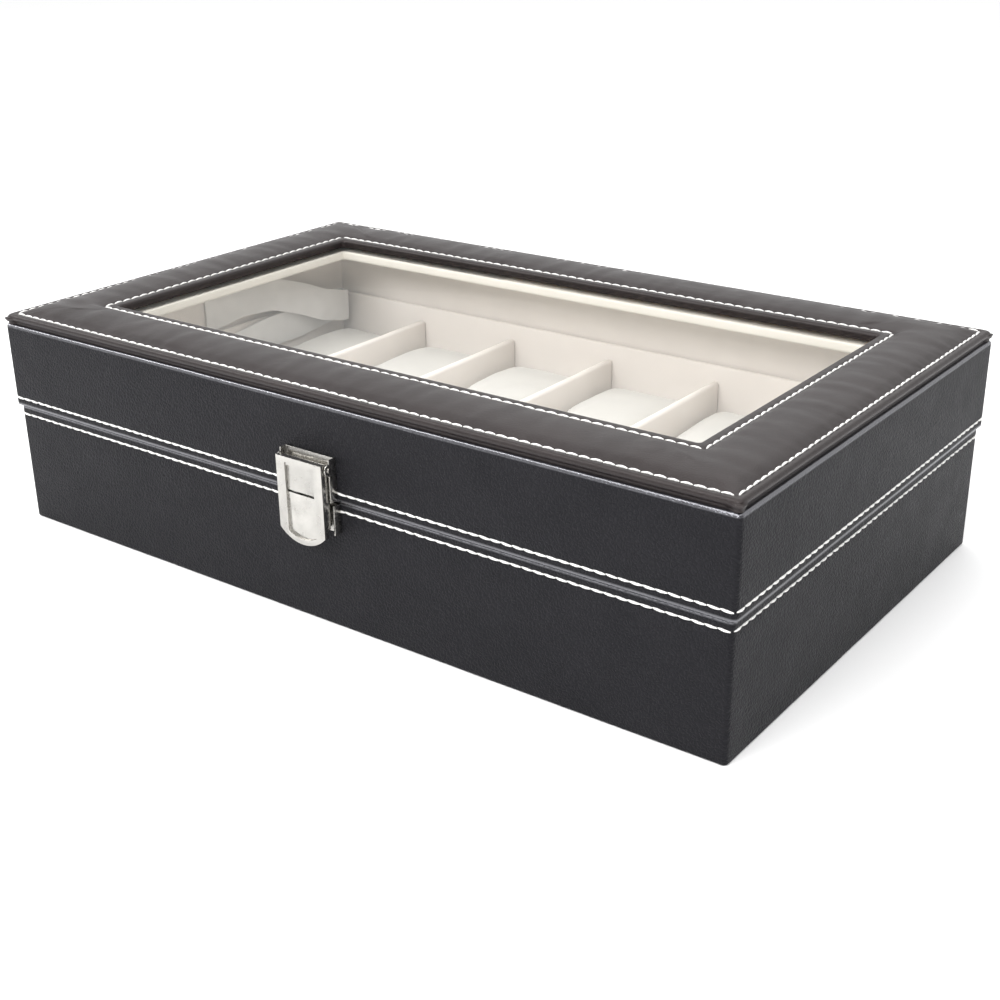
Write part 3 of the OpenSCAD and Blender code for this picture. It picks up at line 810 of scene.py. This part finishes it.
def shape_pillow(points, slot_size, seed):
    """Presses the swollen cushion into its slot, flattens its top a little and
    dents it differently from its neighbours."""
    half = np.array(slot_size) / 2
    shaped = np.array(points)
    reach = np.abs(shaped).max(axis=0)
    shaped *= (half + np.array([0.5, 0.5, 0.2])) / reach
    dome = 1 - 0.2 * (shaped[:, 0] / half[0]) ** 8 - 0.9 * (shaped[:, 1] / half[1]) ** 4
    upper = shaped[:, 2] > 0
    shaped[upper, 2] += PILLOW_DOME * dome[upper] * shaped[upper, 2] / half[2]
    for k, p in enumerate(shaped):
        soft = 0.5 + 0.5 * math.tanh(3 * p[2] / half[2])
        dent = value_noise(p[0] / 17 + seed, p[1] / 17, seed * 1.7)
        fine = value_noise(p[0] / 6 + seed, p[1] / 6, seed * 2.3)
        p[2] += soft * (0.5 * dent + 0.25 * fine)
    for axis in range(2):
        limit = half[axis] - SIDE_SOFTNESS
        over = np.abs(shaped[:, axis]) > limit
        excess = np.abs(shaped[over, axis]) - limit
        squeezed = limit + SIDE_SOFTNESS * np.tanh(excess / SIDE_SOFTNESS)
        shaped[over, axis] = np.sign(shaped[over, axis]) * squeezed
    return shaped


def make_pillows():
    """One cushion is blown up, and its shape is pressed into each of the twelve."""
    low, high = box_mm("back_pillow_2")
    slot_size = high - low
    points, faces = swell_pillow(slot_size - np.array([5.0, 5.0, 4.0]))
    for row in ("front", "back"):
        for column in range(1, 7):
            node = f"{row}_pillow_{column}"
            low, high = box_mm(node)
            seed = column * 3.1 + (40 if row == "front" else 0)
            shaped = shape_pillow(points, high - low - 0.1, seed) + (low + high) / 2
            shaped[:, 2] = np.maximum(shaped[:, 2], low[2])
            piece = make_piece(node + "_cushion", shaped, faces, CUSHION, "base",
                               [node], 80)
            smooth = piece.modifiers.new("smooth", "SUBSURF")
            smooth.levels = smooth.render_levels = 1


make_pillows()

# ---- Ribbon stay ------------------------------------------------------------

RIBBON_T = 0.35
RIBBON_W = 13.6
FOLD_Y = 79.6
FOLD_DROP = 1.3
LAP = 0.55


def ribbon_strip(name, path):
    """A thin band on edge, and its length. path rows are x, y, z and lean in degrees."""
    path = np.array(path, float)
    fine = []
    for a, b in zip(path[:-1], path[1:]):
        count = max(1, math.ceil(np.linalg.norm(b[:3] - a[:3]) / 1.2))
        fine += [a + (b - a) * k / count for k in range(count)]
    fine.append(path[-1])
    fine = np.array(fine)
    for _ in range(3):
        fine[1:-1] = (fine[:-2] + 2 * fine[1:-1] + fine[2:]) / 4
    across_steps = 8
    points, faces = [], []
    rows = len(fine)
    for k in range(rows):
        ahead = fine[min(k + 1, rows - 1), :3] - fine[max(k - 1, 0), :3]
        ahead /= np.linalg.norm(ahead)
        up = np.array([0, 0, 1.0]) - ahead * ahead[2]
        up /= np.linalg.norm(up)
        side = np.cross(ahead, up)
        lean = math.radians(fine[k, 3])
        across = up * math.cos(lean) + side * math.sin(lean)
        out = np.cross(ahead, across)
        for face_side in (-0.5, 0.5):
            for j in range(across_steps + 1):
                t = j / across_steps - 0.5
                curl = 0.35 * (1 - 4 * t * t)
                points.append(fine[k, :3] + across * RIBBON_W * t
                              + out * (curl + face_side * RIBBON_T))
    row = 2 * (across_steps + 1)
    other = across_steps + 1
    for k in range(rows - 1):
        a, b = k * row, (k + 1) * row
        for j in range(across_steps):
            faces.append((a + j, b + j, b + j + 1, a + j + 1))
            faces.append((a + other + j, a + other + j + 1, b + other + j + 1,
                          b + other + j))
        faces.append((a, a + other, b + other, b))
        end = across_steps
        faces.append((a + end, b + end, b + other + end, a + other + end))
    for start, order in ((0, 1), ((rows - 1) * row, -1)):
        for j in range(across_steps):
            face = (start + j, start + j + 1, start + other + j + 1, start + other + j)
            faces.append(face[::order])
    length = float(np.linalg.norm(np.diff(fine[:, :3], axis=0), axis=1).sum())
    piece = make_piece(name, points, faces, RIBBON, None, angle=60)
    return piece, length


def make_ribbon_stay():
    """Two legs of one ribbon, each glued at its end, folded at the back."""
    low_tack, low_leg = box_mm("base_ribbon_tack"), box_mm("ribbon_lower")
    high_tack, high_leg = box_mm("lid_ribbon_tack"), box_mm("ribbon_upper")
    joints = {j["name"]: np.array(j["pos_m"]) / MM for j in frame["joints"]
              if "ribbon" in j["name"]}
    low_pivot, high_pivot = joints["ribbon_base_pivot"], joints["ribbon_lid_pivot"]
    fold_z = (low_pivot[2] + high_pivot[2]) / 2 - FOLD_DROP
    outer_x = (low_leg[0][0] + low_leg[1][0]) / 2
    inner_x = (high_leg[0][0] + high_leg[1][0]) / 2
    middle_x = (outer_x + inner_x) / 2
    bend = (inner_x - outer_x) / 2
    lower = [(low_tack[0][0] + 0.35, 2.2, low_pivot[2], 0),
             (low_tack[0][0] + 0.4, 7.0, low_pivot[2] + 0.4, 0),
             (outer_x - 0.3, 16.0, low_pivot[2] + 3.8, 0),
             (outer_x + 0.6, 34.0, low_pivot[2] + 6.3, 4),
             (outer_x + 0.6, 54.0, low_pivot[2] + 6.4, 4),
             (outer_x, FOLD_Y - bend - 1, fold_z, 0)]
    for k in range(1, 7):
        a = math.radians(180 - 30 * k)
        lower.append((middle_x + bend * math.cos(a), FOLD_Y - bend + bend * math.sin(a),
                      fold_z, 0))
    upper = [(high_tack[0][0] + 0.35, 2.2, high_pivot[2] + 0.3, 0),
             (high_tack[0][0] + 0.45, 8.0, high_pivot[2] + 0.3, 0),
             (inner_x - 5.5, 20.0, high_pivot[2] + 3.2, -4),
             (inner_x - 2.5, 36.0, high_pivot[2] + 2.8, -6),
             (inner_x - 0.6, 52.0, high_pivot[2] - 2.6, -6),
             (inner_x + 0.4, 64.0, high_pivot[2] - 8.0, -3),
             (inner_x + LAP, FOLD_Y - bend - 0.3, fold_z, 0),
             (inner_x + LAP, FOLD_Y - 0.3, fold_z, 0)]
    for name, path, bodies, stands_for, beside in (
            ("ribbon_stay_lower", lower, ("base", "ribbon_lower"),
             ("base_ribbon_tack", "ribbon_lower"), "left_liner_panel"),
            ("ribbon_stay_upper", upper, ("lid", "ribbon_upper"),
             ("lid_ribbon_tack", "ribbon_upper"), "lid_lining_cloth")):
        piece, length = ribbon_strip(name, path)
        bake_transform(piece)
        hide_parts(*stands_for)


make_ribbon_stay()

# ---- Metal, glass and what is hidden ----------------------------------------

BODY_OF = {n: b for b, names in frame["record"]["behaviour"]["bodies"].items()
           for n in names}

for node, width in (("keeper_plate", 0.12), ("keeper_rivets", 0.25),
                    ("left_hinge_base_leaf", 0.15), ("right_hinge_base_leaf", 0.15),
                    ("left_hinge_lid_leaf", 0.15), ("right_hinge_lid_leaf", 0.15),
                    ("hinge_pins", 0.12), ("hinge_base_screws", 0.2),
                    ("hinge_lid_screws", 0.2), ("latch_plate", 0.12),
                    ("latch_pin", 0.1), ("latch_rivets", 0.25), ("latch_lever", 0.3)):
    bevelled(node, NICKEL, BODY_OF[node], width)

for node, material, slot in (("bottom_cover", FELT, "bottom_felt"),
                             ("floor_lining", LINING, "cream_lining")):
    low, high = box_mm(node)
    soft_block(node + "_cloth", low, high, 0.2, material, "base", [node],
               step=12.0, swell=0.05)

bevelled("glass_pane", GLASS, "lid", 0.3)

for node, material in [("frame_foam", FOAM)] + [
        (n, BOARD) for n in nodes if n.endswith("_board")]:
    data = nodes[node].data
    data.materials.clear()
    data.materials.append(material)

# ---- Floor and light --------------------------------------------------------


def make_floor():
    mesh = bpy.data.meshes.new("floor")
    reach = 6.0
    mesh.from_pydata([(-reach, -reach, 0), (reach, -reach, 0), (reach, reach, 0),
                      (-reach, reach, 0)], [], [(0, 1, 2, 3)])
    floor = bpy.data.objects.new("floor", mesh)
    bpy.context.collection.objects.link(floor)
    shader = Shader("floor", Roughness=0.9, Specular_IOR_Level=0.1)
    color = shader.mix(shader.noise(1.5, 2), (0.93, 0.93, 0.93), (0.96, 0.96, 0.96))
    mesh.materials.append(shader.finish(color))


def make_light(name, direction, distance, size, power, along=(1, 0, 0)):
    data = bpy.data.lights.new(name, "AREA")
    data.shape = "RECTANGLE"
    data.size, data.size_y = size
    data.energy = power
    light = bpy.data.objects.new(name, data)
    bpy.context.collection.objects.link(light)
    away = Vector(direction).normalized()
    side = (Vector(along) - away * away.dot(Vector(along))).normalized()
    light.location = away * distance + Vector((0, 0, 0.05))
    light.rotation_mode = "QUATERNION"
    axes = Matrix((side, away.cross(side), away)).transposed()
    light.rotation_quaternion = axes.to_quaternion()


def make_sun(direction, spread, strength):
    data = bpy.data.lights.new("sky_panel", "SUN")
    data.angle = math.radians(spread)
    data.energy = strength
    light = bpy.data.objects.new("sky_panel", data)
    bpy.context.collection.objects.link(light)
    light.rotation_mode = "QUATERNION"
    light.rotation_quaternion = Vector(direction).to_track_quat("Z", "Y")


def make_world():
    """White behind the object as the camera sees it, and dim from the camera's side."""
    world = bpy.data.worlds.new("world")
    bpy.context.scene.world = world
    world.use_nodes = True
    tree = world.node_tree
    background = tree.nodes["Background"]
    direction = tree.nodes.new("ShaderNodeTexCoord").outputs["Generated"]
    toward_viewer = tree.nodes.new("ShaderNodeVectorMath")
    toward_viewer.operation = "DOT_PRODUCT"
    toward_viewer.inputs[1].default_value = (0.55, -0.8, -0.25)
    ramp = tree.nodes.new("ShaderNodeMapRange")
    ramp.interpolation_type = "SMOOTHSTEP"
    for socket, value in (("From Min", -0.05), ("From Max", 0.6), ("To Min", 1.04),
                          ("To Max", 0.12)):
        ramp.inputs[socket].default_value = value
    tree.links.new(direction, toward_viewer.inputs[0])
    tree.links.new(toward_viewer.outputs["Value"], ramp.inputs["Value"])
    tree.links.new(ramp.outputs["Result"], background.inputs["Strength"])
    background.inputs["Color"].default_value = (1, 1, 1, 1)
    bpy.context.scene.view_settings.view_transform = "Standard"


make_floor()
make_world()
# The strip's reflection runs along the front rim. The panels light the inside.
make_light("rim_strip", (-0.58, -0.38, 0.72), 1.3, (1.5, 0.14), 8, (-0.78, 0.28, -0.56))
make_light("front_panel", (0.05, -0.8, 0.6), 1.3, (0.8, 0.5), 11)
make_light("right_panel", (0.5, -0.2, 0.84), 1.3, (0.7, 0.7), 5)
make_sun((-0.25, 0.45, 0.86), 50, 0.6)
